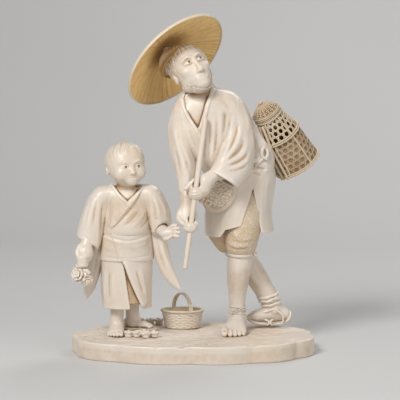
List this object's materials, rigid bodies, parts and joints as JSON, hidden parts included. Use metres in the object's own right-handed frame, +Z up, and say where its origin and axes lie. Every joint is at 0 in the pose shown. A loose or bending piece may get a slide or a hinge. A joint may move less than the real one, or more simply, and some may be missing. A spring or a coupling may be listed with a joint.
{
  "type": "carved figure group",
  "caption": "Carved ivory okimono of a traveller in a wide straw hat with staff, pouch and lidded creel, beside a child with flowers, on a lobed plinth; staff slides, lid lifts off.",
  "frame": {"origin": "centre of the plinth's flat underside", "axes": "+Z up, -Y towards the viewer the figures face, +X to that viewer's right, along the plinth's length"},
  "size_m": [0.1839, 0.1073, 0.2467],
  "materials": {
    "ivory": "polished cream ivory with warm stain in the cuts",
    "stained_ivory": "ivory stained warm brown in the texture",
    "straw_ivory": "ivory cut in fine radial straw lines and stained golden",
    "woven_ivory": "ivory carved as weave, brown in the recesses",
    "dowel_ivory": "plain ivory, hidden in the joints"
  },
  "bodies": {
    "carving": {"base_plinth": "ivory", "base_dowels": "dowel_ivory", "hand_basket_bowl": "woven_ivory", "hand_basket_rim": "woven_ivory", "hand_basket_handle": "woven_ivory", "front_blossoms": "ivory", "rear_blossoms": "ivory", "child_robe": "ivory", "child_obi": "ivory", "child_collar": "ivory", "child_right_sleeve": "ivory", "child_left_sleeve": "ivory", "child_head": "ivory", "child_right_hand": "ivory", "child_left_hand": "ivory", "child_front_leg": "ivory", "child_rear_leg": "ivory", "child_sandal": "stained_ivory", "flower_stem": "ivory", "flower_blooms": "ivory", "man_coat": "ivory", "man_skirt": "ivory", "man_sash": "ivory", "man_collar": "ivory", "man_left_sleeve": "ivory", "man_right_sleeve": "ivory", "man_left_hand": "ivory", "man_right_hand": "ivory", "man_front_breeches": "stained_ivory", "man_front_leg": "ivory", "man_front_knee_tie": "ivory", "man_front_ankle_ties": "ivory", "man_rear_breeches": "stained_ivory", "man_rear_leg": "ivory", "man_rear_sandal": "stained_ivory", "man_rear_ankle_tie": "ivory", "man_head": "ivory", "hat_shell": "straw_ivory", "hat_headband": "straw_ivory", "hat_peg": "dowel_ivory", "hat_chin_cord": "ivory", "pouch_body": "stained_ivory", "pouch_rim": "stained_ivory", "pouch_toggle": "stained_ivory", "sash_knot": "ivory", "creel_shell": "woven_ivory", "creel_hoops": "woven_ivory", "creel_rails": "woven_ivory", "creel_peg": "dowel_ivory"},
    "staff": {"staff": "stained_ivory"},
    "creel_lid": {"creel_lid": "woven_ivory", "creel_lid_knob": "woven_ivory"}
  },
  "joints": [
    {"name": "staff_slide", "type": "slide", "parent": "carving", "child": "staff", "axis": [-0.1339, -0.1513, -0.9794], "range_m": [0, 0.045]},
    {"name": "creel_lid_lift", "type": "slide", "parent": "carving", "child": "creel_lid", "axis": [-0.504, -0.342, 0.7931], "range_m": [0, 0.014]}
  ]
}
